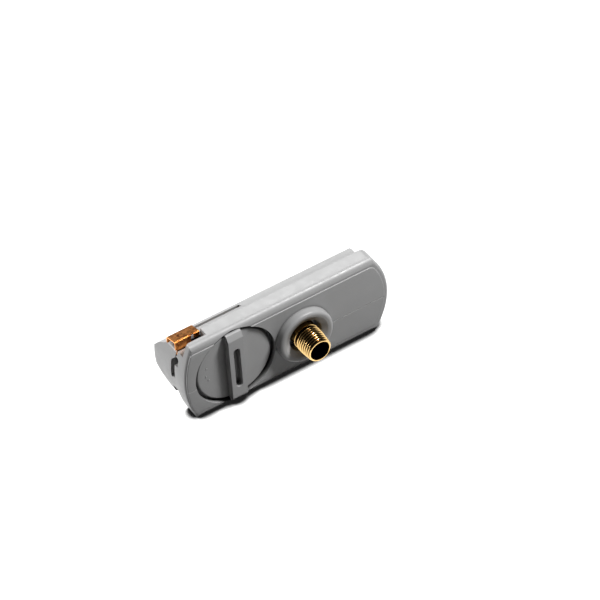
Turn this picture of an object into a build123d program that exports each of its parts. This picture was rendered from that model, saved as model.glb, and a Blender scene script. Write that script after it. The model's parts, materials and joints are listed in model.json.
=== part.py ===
from build123d import *
import math
import os

os.makedirs("parts", exist_ok=True)

# A single-circuit lighting-track adapter. The origin is on the nipple's axis, in the plane of the
# face rim. +X runs along the body to its plain rounded end, -Y points out of the face towards the
# lamp, and +Z goes across the width. "Depth" below is the distance along +Y, into the track.

# Body outline in plan (along X, across Z)
HALF_WIDTH = 17.0
LEFT_END_X = -46.7
LEFT_END_RADIUS = 40.0
RIGHT_END_X = 35.6
RIGHT_END_RADIUS = 28.0
LEFT_CORNER_RADIUS = 1.4
RIGHT_CORNER_RADIUS = 3.0
END_EDGE_RADIUS = 1.2
WALL = 1.5

# Depths of the layers
COVER_DEPTH = 3.0
FLANGE_DEPTH = 7.0
BODY_DEPTH = 21.0
SHOULDER_RADIUS = 2.6
FACE_HALF_WIDTH = 14.1
FACE_RISE = 0.35
FACE_LEFT_INSET = 0.5
FACE_RIGHT_INSET = 1.9

# Spine, the long rib that goes inside the track: half-width at each depth
SPINE_PROFILE = [(11.0, 7.0), (11.0, 12.0), (10.0, 14.0), (7.5, 18.0), (4.0, 21.0)]
SPINE_LEFT_INSET = 0.3
SPINE_RIGHT_INSET = 2.7
BAY_X = (-42.0, 29.8)
PARTITION_X = (-11.6, -10.4)
BLOCK_RIB_X = (16.0, 23.0)
BLOCK_RIB_THICKNESS = 1.2
BLOCK_RIB_HALF_WIDTH = 3.0
FLANGE_EDGE_RADIUS = 0.6

# Recesses at the housing's left end
HOOK_RECESS = [(10.0, -2.2), (7.4, -0.6), (7.4, 5.4), (5.0, 6.1), (5.0, 9.4), (6.6, 9.4), (9.6, 6.2)]
RECESS_LENGTH = 2.0
LOW_NOTCH_RIGHT_X = -43.4
LOW_NOTCH_DEPTH = (7.0, 10.6)
LOW_NOTCH_Z = (-11.5, -7.4)

# Knob and its pocket
KNOB_X = -26.9
POCKET_RADIUS = 15.9
POCKET_FLOOR_DEPTH = 2.2
POCKET_WALL = 1.0
HUB_RADIUS = 8.0
HUB_HOLE_RADIUS = 8.4
DISC_RADIUS = 15.0
DISC_FACE_DEPTH = 0.7
DISC_BACK_DEPTH = 1.9
DISC_BEVEL = 0.6
BAR_WIDTH = 6.0
BAR_HALF_LENGTH = 15.4
BAR_RISE = 2.0
BAR_END_SLOPE = 2.0
BAR_SLOT_WIDTH = 2.6
BAR_SLOT_LENGTH = 18.0
BAR_SLOT_DEPTH = 2.2
BAR_EDGE_RADIUS = 0.5

# Collar and nipple
COLLAR_RADIUS = 10.7
COLLAR_RISE = 3.7
COLLAR_CREST_RADIUS = 9.3
COLLAR_HOLE_RADIUS = 6.35
COLLAR_HOLE_RISE = 2.3
COLLAR_FOOT_DEPTH = 0.5
COLLAR_SHOULDER = 1.4
NIPPLE_RADIUS = 5.0
NIPPLE_BORE_RADIUS = 3.75
NIPPLE_NECK_RADIUS = 4.9
NIPPLE_RISE = 11.6
NIPPLE_THREAD_END_RISE = 4.0
NIPPLE_RELIEF_RADIUS = 4.5
NIPPLE_RELIEF_WIDTH = 0.9
NIPPLE_TAIL_DEPTH = 8.2
NIPPLE_CHAMFER = 0.7
NIPPLE_HOLE_RADIUS = 4.93
NIPPLE_PLATE_X = (-9.8, 12.0)
NIPPLE_PLATE_HALF_WIDTH = 10.0
NIPPLE_PLATE_DEPTH = (1.52, 3.5)
NIPPLE_PLATE_CORNER = 2.0
LOCK_WASHER_RADIUS = 8.0
LOCK_WASHER_HOLE_RADIUS = 5.1
LOCK_WASHER_DEPTH = (3.52, 4.1)
LOCK_NUT_ACROSS_FLATS = 14.0
LOCK_NUT_DEPTH = (4.12, 7.1)

# Rotor
FIT_GAP = 0.1
DRUM_RADIUS = 6.5
DRUM_BACK_DEPTH = 16.3
DRUM_FLANGE_RADIUS = 9.3
DRUM_FLANGE_FRONT = 3.3
DRUM_FLANGE_BACK = 4.6
JOURNAL_RADIUS = 3.0
STEM_SIDE = 6.0
STEM_FRONT_DEPTH = 2.2
ROTOR_SCREW_RADIUS = 1.25
ROTOR_SCREW_HEAD_RADIUS = 2.6
ROTOR_SCREW_FRONT_DEPTH = 1.2
ROTOR_SCREW_HEAD = 1.2
ROTOR_SCREW_SLOT_WIDTH = 0.6
ROTOR_SCREW_SLOT_DEPTH = 0.5
ROTOR_WASHER_RADIUS = 11.0
WING_FRONT_DEPTH = 8.9
WING_THICKNESS = 1.4
WING_REACH = 14.2
WING_WIDTH = 9.0
SHOE_FRONT_DEPTH = 13.9
SHOE_THICKNESS = 1.8
SHOE_REACH = 13.6
SHOE_ROOT = 3.6
SHOE_WIDTH = 5.0
SHOE_TRAVEL = 0.8
WINDOW_HALF_LENGTH = 12.0
WINDOW_CLEARANCE = 0.4
RING_FRONT_DEPTH = 11.5
RING_WIDTH = 2.0
RING_THICKNESS = 0.4
RING_ARC = 150.0

# Contacts along the body
STRIP_THICKNESS = 0.4
STRIP_Z = 8.2
STRIP_DEPTH = (11.6, 13.4)
STRIP_LEFT_X = -31.0
STRIP_JOG_X = 10.8
STRIP_DIMPLE_HALF_LENGTH = 1.5
STRIP_NOTCH_DEPTH = (11.2, 13.8)
STRIP_NOTCH_Z = (7.4, 10.0)
TONGUE_END_X = 23.0
TONGUE_DEPTH = (9.5, 11.3)

# Terminal block
TERMINAL_PITCH = 6.1
BLOCK_X = (14.0, 26.0)
BLOCK_HALF_WIDTH = 8.7
BLOCK_DEPTH = (6.2, 13.0)
CLAMP_X = (15.2, 24.8)
CLAMP_HALF_WIDTH = 2.1
CLAMP_DEPTH = (8.1, 12.7)
CLAMP_WINDOW = (9.0, 12.0)
CLAMP_WINDOW_HALF = 1.45
TERMINAL_SCREW_X = 20.0
TERMINAL_SCREW_RADIUS = 1.25
TERMINAL_SCREW_HOLE_RADIUS = 1.8
TERMINAL_SCREW_FRONT_DEPTH = 5.9
TERMINAL_SCREW_SLOT_WIDTH = 0.5
TERMINAL_SCREW_SLOT_DEPTH = 0.6

# Earth contact and the notch that it stands in
NOTCH_RIGHT_X = -35.3
NOTCH_FLOOR_Z = 11.8
LEAF_THICKNESS = 0.5
LEAF_ROOT = (6.85, 11.3)
LEAF_FOOT_Z = 10.9
LEAF_BEND_Z = 14.0
LEAF_KNEE = (6.75, 16.0)
LEAF_CREST = (12.0, 14.4)
LEAF_HEM = (12.1, 11.9)
LEAF_SLOT_HALF_DEPTH = 0.55
LEAF_SLOT_CLEARANCE = 0.4
LEAF_LEG_X = (-45.0, -40.6)
LEAF_HEAD_X = (-45.6, -36.3)
EARTH_STRIP_DEPTH = (5.1, 5.5)
EARTH_STRIP_LANE = (8.6, 10.1)
EARTH_STRIP_WIDTH = 1.5
EARTH_STRIP_TURN_X = 12.1
EARTH_TONGUE_BACK_DEPTH = 10.6
EARTH_TONGUE_WIDTH = 2.0
EARTH_RISER_TOP_Z = 10.6

# Cover screws
COVER_SCREW_X = (-7.0, 25.0)
COVER_SCREW_Z = 13.5
COVER_POST_RADIUS = 1.9
COVER_SCREW_RADIUS = 1.0
COVER_SCREW_HEAD_RADIUS = 1.8
COVER_SCREW_HEAD = 0.83
COVER_SCREW_SEAT = 0.05
COVER_SCREW_FRONT_DEPTH = 2.4
COVER_PILOT_FRONT_DEPTH = 2.2

# Lengths by which a cutting shape runs past the solid that it cuts
PAST = 1.0


def at_depth(sketch, front, back):
    """Extrude a sketch drawn in (X, Z) from one depth to another."""
    return extrude(Plane.XZ.offset(-front) * sketch, amount=front - back)


def disc(radius, front, back, x=0.0, z=0.0):
    """A round plate or cylinder whose axis runs along the depth."""
    return at_depth(Pos(x, z) * Circle(radius), front, back)


def block(x_span, depth_span, z_span):
    """A box given by its two limits along each axis."""
    size = [high - low for low, high in (x_span, depth_span, z_span)]
    centre = [(high + low) / 2 for low, high in (x_span, depth_span, z_span)]
    return Pos(*centre) * Box(*size)


def plan(half_width, left_inset=0.0, right_inset=0.0):
    """The body's outline seen from the face: two straight sides between two arcs."""
    left_radius = LEFT_END_RADIUS - left_inset
    right_radius = RIGHT_END_RADIUS - right_inset
    left_centre = LEFT_END_X + LEFT_END_RADIUS
    right_centre = RIGHT_END_X - RIGHT_END_RADIUS
    left_x = left_centre - math.sqrt(left_radius**2 - half_width**2)
    right_x = right_centre + math.sqrt(right_radius**2 - half_width**2)
    top_left, top_right = (left_x, half_width), (right_x, half_width)
    low_left, low_right = (left_x, -half_width), (right_x, -half_width)
    lines = Polyline(top_left, top_right)
    lines += ThreePointArc(top_right, (right_centre + right_radius, 0), low_right)
    lines += Polyline(low_right, low_left)
    lines += ThreePointArc(low_left, (left_centre - left_radius, 0), top_left)
    outline = make_face(lines)
    outline = fillet(outline.vertices().group_by(Axis.X)[0], LEFT_CORNER_RADIUS)
    return fillet(outline.vertices().group_by(Axis.X)[-1], RIGHT_CORNER_RADIUS)


def spine_section(inset):
    """The spine's cross-section in (Y, Z), drawn in by an inset on its sides and back."""
    half = [(depth, width) for width, depth in SPINE_PROFILE]
    other_half = [(depth, -width) for depth, width in reversed(half)]
    section = make_face(Polyline(*half, *other_half, close=True))
    if inset == 0:
        return section
    inner = offset(section, amount=-inset, kind=Kind.INTERSECTION)
    root_half_width, root_depth = SPINE_PROFILE[0]
    mouth = Pos(root_depth, 0) * Rectangle(2 * inset + PAST, 2 * (root_half_width - inset))
    return inner + mouth


def spine_length(inset, x_span):
    """The spine's section run along X between two limits."""
    section = Plane.YZ.offset(x_span[0]) * spine_section(inset)
    return extrude(section, amount=x_span[1] - x_span[0])


def collar():
    """The dished ring that stands round the nipple, part of the face cover."""
    dish_foot = (COLLAR_HOLE_RADIUS, -COLLAR_HOLE_RISE)
    dish_rim = (COLLAR_CREST_RADIUS - 0.9, -COLLAR_RISE + 0.25)
    crest = (COLLAR_CREST_RADIUS + 0.3, -COLLAR_RISE)
    shoulder = (COLLAR_RADIUS, -COLLAR_RISE + COLLAR_SHOULDER)
    hole_foot = (COLLAR_HOLE_RADIUS, COLLAR_FOOT_DEPTH)
    lines = Polyline(hole_foot, dish_foot, dish_rim)
    lines += ThreePointArc(dish_rim, crest, shoulder)
    lines += Polyline(shoulder, (COLLAR_RADIUS, COLLAR_FOOT_DEPTH), hole_foot)
    return revolve(make_face(lines), axis=Axis.Y)


def cover_posts(radius, front, back):
    """Round columns or holes at the four cover screws."""
    places = [(x, side * COVER_SCREW_Z) for x in COVER_SCREW_X for side in (-1, 1)]
    return [disc(radius, front, back, x, z) for x, z in places]


def cover_section():
    """The cover's cross-section in (Y, Z): a flat front between two rounded shoulders."""
    section = Pos(COVER_DEPTH / 2, 0) * Rectangle(COVER_DEPTH, 2 * HALF_WIDTH)
    return fillet(section.vertices().group_by(Axis.X)[0], SHOULDER_RADIUS)


def notch_lining(front, back):
    """The walls that close the body's inside off from the earth contact's notch."""
    length = (LEFT_END_X - PAST, NOTCH_RIGHT_X + WALL)
    lining = block(length, (front, back), (NOTCH_FLOOR_Z - WALL, HALF_WIDTH))
    return lining & at_depth(plan(HALF_WIDTH), front, back)


def face_cover():
    """The front shell: rounded shoulders, raised face, knob pocket and collar."""
    length = RIGHT_END_X - LEFT_END_X + 2 * PAST
    bar = extrude(Plane.YZ.offset(LEFT_END_X - PAST) * cover_section(), amount=length)
    plate = at_depth(plan(HALF_WIDTH), 0, COVER_DEPTH)
    shell = fillet(plate.faces().sort_by(Axis.Y)[0].edges(), END_EDGE_RADIUS) & bar
    face_plan = plan(FACE_HALF_WIDTH, FACE_LEFT_INSET, FACE_RIGHT_INSET)
    raised = at_depth(face_plan, -FACE_RISE, WALL)
    hollow = at_depth(plan(HALF_WIDTH - WALL, WALL, WALL + 0.5), WALL, COVER_DEPTH)
    pocket_ring = plan(HALF_WIDTH) & Pos(KNOB_X, 0) * Circle(POCKET_RADIUS + POCKET_WALL)
    shell = shell + raised - hollow + at_depth(pocket_ring, WALL, COVER_DEPTH)
    shell += notch_lining(WALL, COVER_DEPTH) & bar
    shell -= disc(POCKET_RADIUS, -FACE_RISE - PAST, POCKET_FLOOR_DEPTH, KNOB_X)
    shell -= disc(HUB_HOLE_RADIUS, 0, COVER_DEPTH + PAST, KNOB_X)
    for post in cover_posts(COVER_POST_RADIUS, WALL, FLANGE_DEPTH - WALL - FIT_GAP):
        shell += post
    pilot_radius = COVER_SCREW_RADIUS + FIT_GAP / 2
    for pilot in cover_posts(pilot_radius, COVER_PILOT_FRONT_DEPTH, FLANGE_DEPTH):
        shell -= pilot
    return shell - disc(COLLAR_HOLE_RADIUS, -FACE_RISE - PAST, WALL + PAST) + collar()


def end_recess():
    """The hook-shaped recess in the left end face: a stem across the width with a wider head."""
    outline = Plane.YZ.offset(LEFT_END_X - PAST) * make_face(Polyline(*HOOK_RECESS, close=True))
    return extrude(outline, amount=RECESS_LENGTH + PAST)


def side_windows():
    """The slots through the spine's sides that the wings and the shoes turn out of."""
    span = (KNOB_X - WINDOW_HALF_LENGTH, KNOB_X + WINDOW_HALF_LENGTH)
    width = (-HALF_WIDTH, HALF_WIDTH)
    windows = []
    for front, thickness in ((WING_FRONT_DEPTH, WING_THICKNESS), (SHOE_FRONT_DEPTH, SHOE_THICKNESS)):
        depth = (front - WINDOW_CLEARANCE, front + thickness + WINDOW_CLEARANCE)
        windows.append(block(span, depth, width))
    return windows[0] + windows[1]


def bay_partition():
    """The wall between the rotor and the wiring, with a notch at each side for a wiper strip."""
    wall = spine_length(WALL - FIT_GAP, PARTITION_X)
    past = (PARTITION_X[0] - PAST, PARTITION_X[1] + PAST)
    wall -= block(past, (0, FLANGE_DEPTH - WALL + FIT_GAP), (-HALF_WIDTH, HALF_WIDTH))
    notch = block(past, STRIP_NOTCH_DEPTH, STRIP_NOTCH_Z)
    return wall - notch - mirror(notch, about=Plane.XY)


def notch_cuts():
    """The open notch for the earth contact, the slot under it and the lane for its strip."""
    notch_x = (LEFT_END_X - PAST, NOTCH_RIGHT_X)
    notch_depth = (COVER_DEPTH - PAST, FLANGE_DEPTH)
    cuts = block(notch_x, notch_depth, (NOTCH_FLOOR_Z, HALF_WIDTH + PAST))
    slot_x = (LEAF_LEG_X[0] - LEAF_SLOT_CLEARANCE, LEAF_LEG_X[1] + LEAF_SLOT_CLEARANCE)
    slot_depth = (LEAF_ROOT[0] - LEAF_SLOT_HALF_DEPTH, LEAF_ROOT[0] + LEAF_SLOT_HALF_DEPTH)
    lane_z = EARTH_STRIP_LANE[0] - 2 * FIT_GAP
    cuts += block(slot_x, slot_depth, (lane_z, NOTCH_FLOOR_Z + FIT_GAP))
    strip_room = (lane_z, EARTH_STRIP_LANE[1] + 3 * FIT_GAP)
    cuts += block(slot_x, (EARTH_STRIP_DEPTH[0], slot_depth[1]), strip_room)
    return cuts


def housing():
    """The rear shell: flange tray and hollow spine in one moulding."""
    flange = at_depth(plan(HALF_WIDTH), COVER_DEPTH, FLANGE_DEPTH)
    flange = fillet(flange.faces().sort_by(Axis.Y)[-1].edges(), FLANGE_EDGE_RADIUS)
    spine_plan = plan(SPINE_PROFILE[0][0], SPINE_LEFT_INSET, SPINE_RIGHT_INSET)
    limits = at_depth(spine_plan, FLANGE_DEPTH - FIT_GAP, BODY_DEPTH)
    shell = flange + (spine_length(0, (LEFT_END_X - PAST, RIGHT_END_X)) & limits)
    tray = plan(HALF_WIDTH - WALL, WALL, WALL)
    shell -= at_depth(tray, COVER_DEPTH - PAST, FLANGE_DEPTH - WALL)
    shell -= spine_length(WALL, BAY_X)
    shell += bay_partition()
    for x in BLOCK_RIB_X:
        rib_z = (-BLOCK_RIB_HALF_WIDTH, BLOCK_RIB_HALF_WIDTH)
        shell += block((x, x + BLOCK_RIB_THICKNESS), (BLOCK_DEPTH[1], BODY_DEPTH - WALL), rib_z)
    shell += notch_lining(COVER_DEPTH, FLANGE_DEPTH - WALL)
    shell -= notch_cuts()
    shell -= end_recess()
    shell -= block((LEFT_END_X - PAST, LOW_NOTCH_RIGHT_X), LOW_NOTCH_DEPTH, LOW_NOTCH_Z)
    shell -= side_windows()
    shell -= disc(JOURNAL_RADIUS + FIT_GAP, BODY_DEPTH - 2 * WALL, BODY_DEPTH + PAST, KNOB_X)
    for hole in cover_posts(COVER_SCREW_RADIUS + FIT_GAP, COVER_DEPTH, FLANGE_DEPTH + PAST):
        shell -= hole
    seat_front = FLANGE_DEPTH - COVER_SCREW_HEAD - COVER_SCREW_SEAT
    for seat in cover_posts(COVER_SCREW_HEAD_RADIUS + 2 * FIT_GAP, seat_front, FLANGE_DEPTH + PAST):
        shell -= seat
    return shell


def grip_bar():
    """The raised bar across the disc, with sloped ends and rounded long edges."""
    front = -BAR_RISE
    foot = DISC_FACE_DEPTH + 0.5
    heel = DISC_FACE_DEPTH - 0.2
    slope_foot = front + BAR_END_SLOPE - 0.6
    half = [
        (foot, DISC_RADIUS - DISC_BEVEL),
        (heel, BAR_HALF_LENGTH),
        (slope_foot, BAR_HALF_LENGTH),
        (front, BAR_HALF_LENGTH - BAR_END_SLOPE),
    ]
    side = Polyline(*half, *[(depth, -z) for depth, z in reversed(half)], close=True)
    bar = extrude(Plane.YZ.offset(KNOB_X - BAR_WIDTH / 2) * make_face(side), amount=BAR_WIDTH)
    return fillet(bar.edges().filter_by(Axis.Z), BAR_EDGE_RADIUS)


def knob():
    """The turning disc with its slotted grip bar across the width."""
    plate = disc(DISC_RADIUS, DISC_FACE_DEPTH, DISC_BACK_DEPTH, KNOB_X)
    plate = chamfer(plate.faces().sort_by(Axis.Y)[0].edges(), DISC_BEVEL)
    plate += disc(HUB_RADIUS, DISC_BACK_DEPTH, DRUM_FLANGE_FRONT - 0.02, KNOB_X)
    slot = SlotOverall(BAR_SLOT_LENGTH, BAR_SLOT_WIDTH, rotation=90)
    plate += grip_bar()
    plate -= at_depth(Pos(KNOB_X, 0) * slot, -BAR_RISE - PAST, -BAR_RISE + BAR_SLOT_DEPTH)
    socket = STEM_SIDE / 2 + FIT_GAP / 2
    socket_depth = (STEM_FRONT_DEPTH - FIT_GAP, DRUM_FLANGE_FRONT + PAST)
    plate -= block((KNOB_X - socket, KNOB_X + socket), socket_depth, (-socket, socket))
    screw_hole_front = ROTOR_SCREW_FRONT_DEPTH - 2 * FIT_GAP
    plate -= disc(ROTOR_SCREW_RADIUS + FIT_GAP / 2, screw_hole_front, DRUM_FLANGE_FRONT + PAST, KNOB_X)
    return plate


def shoe_blank(extra, root, reach):
    """The radial tongue's shape along +X from the rotor's axis, grown by a clearance."""
    half = SHOE_WIDTH / 2 + extra
    depth = (SHOE_FRONT_DEPTH - extra, SHOE_FRONT_DEPTH + SHOE_THICKNESS + extra)
    return block((KNOB_X + root, KNOB_X + reach), depth, (-half, half))


def about_rotor(shape, degrees):
    """Turn a shape about the rotor's axis."""
    return Pos(KNOB_X, 0, 0) * Rot(0, degrees, 0) * Pos(-KNOB_X, 0, 0) * shape


def rotor_drum():
    """The moulded drum: flange, slot for the wing plate, pockets for the shoes, rear journal."""
    drum = disc(DRUM_FLANGE_RADIUS, DRUM_FLANGE_FRONT, DRUM_FLANGE_BACK, KNOB_X)
    drum += disc(DRUM_RADIUS, DRUM_FLANGE_BACK, DRUM_BACK_DEPTH, KNOB_X)
    drum += disc(JOURNAL_RADIUS, DRUM_BACK_DEPTH, BODY_DEPTH, KNOB_X)
    half = STEM_SIDE / 2
    drum += block((KNOB_X - half, KNOB_X + half), (STEM_FRONT_DEPTH, DRUM_FLANGE_FRONT), (-half, half))
    reach = DRUM_FLANGE_RADIUS
    slack = FIT_GAP / 2
    wing_depth = (WING_FRONT_DEPTH - slack, WING_FRONT_DEPTH + WING_THICKNESS + slack)
    drum -= block((KNOB_X - reach, KNOB_X + reach), wing_depth, (-WING_WIDTH / 2, WING_WIDTH / 2))
    pocket = shoe_blank(slack, SHOE_ROOT - SHOE_TRAVEL - 2 * FIT_GAP, DRUM_RADIUS + PAST)
    drum = drum - pocket - about_rotor(pocket, 180)
    drum -= disc(ROTOR_SCREW_RADIUS + slack, 0, BODY_DEPTH + PAST, KNOB_X)
    return drum


def locking_wing_plate():
    """The steel plate that turns behind the track's lips, with rounded ends."""
    outline = Circle(WING_REACH) & Rectangle(2 * WING_REACH, WING_WIDTH - 2 * FIT_GAP)
    wing_back = WING_FRONT_DEPTH + WING_THICKNESS
    plate = at_depth(Pos(KNOB_X, 0) * outline, WING_FRONT_DEPTH, wing_back)
    return plate - disc(ROTOR_SCREW_RADIUS + FIT_GAP, 0, BODY_DEPTH, KNOB_X)


def contact_shoe(degrees):
    """A copper tongue in the drum with a half-round nose."""
    shoe = shoe_blank(0, SHOE_ROOT, SHOE_REACH)
    nose = shoe.edges().filter_by(Axis.Y).group_by(Axis.X)[-1]
    shoe = fillet(nose, SHOE_WIDTH / 2 - 0.1)
    return about_rotor(shoe, degrees)


def ring_segment(degrees):
    """A copper arc on the drum, broken so that the contacts are dead until the knob is turned."""
    outer = DRUM_RADIUS + RING_THICKNESS
    far = 2 * outer
    corner = (far * math.cos(math.radians(RING_ARC / 2)), far * math.sin(math.radians(RING_ARC / 2)))
    low_corner = (corner[0], -corner[1])
    wedge = Polyline((0, 0), corner, (far, corner[1]), (far, -corner[1]), low_corner, close=True)
    arc = (Circle(outer) - Circle(DRUM_RADIUS)) & make_face(wedge)
    ring = at_depth(Pos(KNOB_X, 0) * arc, RING_FRONT_DEPTH, RING_FRONT_DEPTH + RING_WIDTH)
    return about_rotor(ring, degrees)


def rotor_screw():
    """The screw that holds the drum to the knob from behind."""
    head_front = BODY_DEPTH + FIT_GAP
    head_back = BODY_DEPTH + ROTOR_SCREW_HEAD
    screw = disc(ROTOR_SCREW_RADIUS, ROTOR_SCREW_FRONT_DEPTH, head_front, KNOB_X)
    screw += disc(ROTOR_SCREW_HEAD_RADIUS, head_front, head_back, KNOB_X)
    half = ROTOR_SCREW_SLOT_WIDTH / 2
    reach = ROTOR_SCREW_HEAD_RADIUS + PAST
    slot_depth = (head_back - ROTOR_SCREW_SLOT_DEPTH, head_back + PAST)
    return screw - block((KNOB_X - reach, KNOB_X + reach), slot_depth, (-half, half))


def rotor_washer():
    """The thin spring washer between the knob's disc and the pocket floor."""
    slack = FIT_GAP / 2
    outline = Circle(ROTOR_WASHER_RADIUS) - Circle(HUB_RADIUS + FIT_GAP)
    return at_depth(Pos(KNOB_X, 0) * outline, DISC_BACK_DEPTH + slack, POCKET_FLOOR_DEPTH - slack)


def wiper_strip(side, terminal_z):
    """A copper strip from a terminal along the spine's wall to the drum's ring."""
    half = STRIP_THICKNESS / 2
    run_z = side * STRIP_Z
    run = block((STRIP_LEFT_X, STRIP_JOG_X + half), STRIP_DEPTH, (run_z - half, run_z + half))
    inner = DRUM_RADIUS + RING_THICKNESS + FIT_GAP
    dimple_x = (KNOB_X - STRIP_DIMPLE_HALF_LENGTH, KNOB_X + STRIP_DIMPLE_HALF_LENGTH)
    run += block(dimple_x, STRIP_DEPTH, sorted((side * inner, run_z)))
    jog_x = (STRIP_JOG_X - half, STRIP_JOG_X + half)
    jog_z = sorted((terminal_z - side * half, run_z + side * half))
    run += block(jog_x, (TONGUE_DEPTH[0], STRIP_DEPTH[1]), jog_z)
    tongue_z = (terminal_z - half, terminal_z + half)
    run += block((jog_x[0], TONGUE_END_X), TONGUE_DEPTH, tongue_z)
    return run


def earth_strip():
    """The copper strip from the earth terminal to the slot under the earth contact."""
    front = EARTH_STRIP_DEPTH[0]
    back = EARTH_TONGUE_BACK_DEPTH
    lane_top = EARTH_STRIP_LANE[1]
    turn_x = EARTH_STRIP_TURN_X
    turn_end = turn_x + EARTH_STRIP_WIDTH
    half = EARTH_TONGUE_WIDTH / 2
    tongue_z = (TERMINAL_PITCH - half, TERMINAL_PITCH + half)
    strip = block((LEAF_LEG_X[0] + 2 * FIT_GAP, turn_end), EARTH_STRIP_DEPTH, EARTH_STRIP_LANE)
    strip += block((turn_x, turn_end), EARTH_STRIP_DEPTH, (tongue_z[0], lane_top))
    strip += block((turn_x, turn_x + STRIP_THICKNESS), (front, back), tongue_z)
    strip += block((turn_x, TONGUE_END_X), (back - STRIP_THICKNESS, back), tongue_z)
    riser_depth = (LEAF_ROOT[0] - LEAF_THICKNESS / 2, LEAF_ROOT[0] + LEAF_THICKNESS / 2)
    strip += block(LEAF_LEG_X, (front, riser_depth[1]), (lane_top - STRIP_THICKNESS, lane_top))
    strip += block(LEAF_LEG_X, riser_depth, (lane_top - STRIP_THICKNESS, EARTH_RISER_TOP_Z))
    return strip


def bent_strip(points, x_span):
    """A strip of the leaf's thickness that follows points in (Y, Z) between two limits along X."""
    section = trace(Polyline(*points), LEAF_THICKNESS)
    return extrude(Plane.YZ.offset(x_span[0]) * section, x_span[1] - x_span[0])


def earth_contact():
    """The bent copper leaf: a leg out of the slot, then a wider head folded back over it."""
    root_y = LEAF_ROOT[0]
    leg = bent_strip([(root_y, LEAF_FOOT_Z), (root_y, LEAF_BEND_Z), LEAF_KNEE], LEAF_LEG_X)
    return leg + bent_strip([LEAF_KNEE, LEAF_CREST, LEAF_HEM], LEAF_HEAD_X)


def terminal_block():
    """The moulded body with three cavities, open at the back, and screw holes at the front."""
    body = block(BLOCK_X, BLOCK_DEPTH, (-BLOCK_HALF_WIDTH, BLOCK_HALF_WIDTH))
    half = CLAMP_HALF_WIDTH + FIT_GAP
    cavity_x = (CLAMP_X[0] - FIT_GAP, CLAMP_X[1] + FIT_GAP)
    cavity_depth = (CLAMP_DEPTH[0] - FIT_GAP, BLOCK_DEPTH[1] + PAST)
    mouth_x = (BLOCK_X[0] - PAST, CLAMP_X[0])
    screw_depth = (BLOCK_DEPTH[0] - PAST, CLAMP_DEPTH[0])
    for pole in (-1, 0, 1):
        z = pole * TERMINAL_PITCH
        body -= block(cavity_x, cavity_depth, (z - half, z + half))
        body -= block(mouth_x, CLAMP_WINDOW, (z - CLAMP_WINDOW_HALF, z + CLAMP_WINDOW_HALF))
        body -= disc(TERMINAL_SCREW_HOLE_RADIUS, *screw_depth, TERMINAL_SCREW_X, z)
    return body


def terminal_clamp(pole):
    """A brass tube clamp with a window along X and a screw hole at the front."""
    z = pole * TERMINAL_PITCH
    clamp = block(CLAMP_X, CLAMP_DEPTH, (z - CLAMP_HALF_WIDTH, z + CLAMP_HALF_WIDTH))
    window_x = (CLAMP_X[0] - PAST, CLAMP_X[1] + PAST)
    clamp -= block(window_x, CLAMP_WINDOW, (z - CLAMP_WINDOW_HALF, z + CLAMP_WINDOW_HALF))
    screw_depth = (CLAMP_DEPTH[0] - PAST, CLAMP_WINDOW[0] + PAST / 2)
    return clamp - disc(TERMINAL_SCREW_RADIUS + FIT_GAP / 2, *screw_depth, TERMINAL_SCREW_X, z)


def terminal_screws():
    """Three slotted grub screws, one to a terminal."""
    screws = []
    front = TERMINAL_SCREW_FRONT_DEPTH
    slot_x = (TERMINAL_SCREW_X - 2, TERMINAL_SCREW_X + 2)
    slot_depth = (front - PAST, front + TERMINAL_SCREW_SLOT_DEPTH)
    half = TERMINAL_SCREW_SLOT_WIDTH / 2
    for pole in (-1, 0, 1):
        z = pole * TERMINAL_PITCH
        screw = disc(TERMINAL_SCREW_RADIUS, front, TONGUE_DEPTH[0] - FIT_GAP, TERMINAL_SCREW_X, z)
        screws.append(screw - block(slot_x, slot_depth, (z - half, z + half)))
    return Compound(children=screws)


def nipple():
    """The brass tube: a threaded stretch, a thread relief, then a slimmer neck into the body."""
    thread_end = -NIPPLE_THREAD_END_RISE
    tube = disc(NIPPLE_RADIUS, -NIPPLE_RISE, thread_end)
    tube = chamfer(tube.faces().sort_by(Axis.Y)[0].edges(), NIPPLE_CHAMFER)
    tube += disc(NIPPLE_RELIEF_RADIUS, thread_end, thread_end + NIPPLE_RELIEF_WIDTH)
    tube += disc(NIPPLE_NECK_RADIUS, thread_end + NIPPLE_RELIEF_WIDTH, NIPPLE_TAIL_DEPTH)
    return tube - disc(NIPPLE_BORE_RADIUS, -NIPPLE_RISE - PAST, NIPPLE_TAIL_DEPTH + PAST)


def nipple_plate():
    """The steel plate behind the face that the nipple is screwed into."""
    width = (-NIPPLE_PLATE_HALF_WIDTH, NIPPLE_PLATE_HALF_WIDTH)
    plate = block(NIPPLE_PLATE_X, NIPPLE_PLATE_DEPTH, width)
    plate = fillet(plate.edges().filter_by(Axis.Y), NIPPLE_PLATE_CORNER)
    return plate - disc(NIPPLE_HOLE_RADIUS, 0, NIPPLE_PLATE_DEPTH[1] + PAST)


def nipple_lock_washer():
    """A thin ring under the lock nut."""
    return at_depth(Circle(LOCK_WASHER_RADIUS) - Circle(LOCK_WASHER_HOLE_RADIUS), *LOCK_WASHER_DEPTH)


def nipple_lock_nut():
    """The hexagon nut inside the body."""
    hexagon = RegularPolygon(LOCK_NUT_ACROSS_FLATS / 2, 6, major_radius=False)
    return at_depth(hexagon - Circle(NIPPLE_HOLE_RADIUS), *LOCK_NUT_DEPTH)


def cover_screws():
    """Four small cheese-headed screws through the flange into the cover's posts."""
    screws = []
    head_back = FLANGE_DEPTH - COVER_SCREW_SEAT
    head_front = head_back - COVER_SCREW_HEAD
    heads = cover_posts(COVER_SCREW_HEAD_RADIUS, head_front, head_back)
    shanks = cover_posts(COVER_SCREW_RADIUS, COVER_SCREW_FRONT_DEPTH, head_front)
    for head, shank in zip(heads, shanks):
        screws.append(head + shank)
    return Compound(children=screws)


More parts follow.
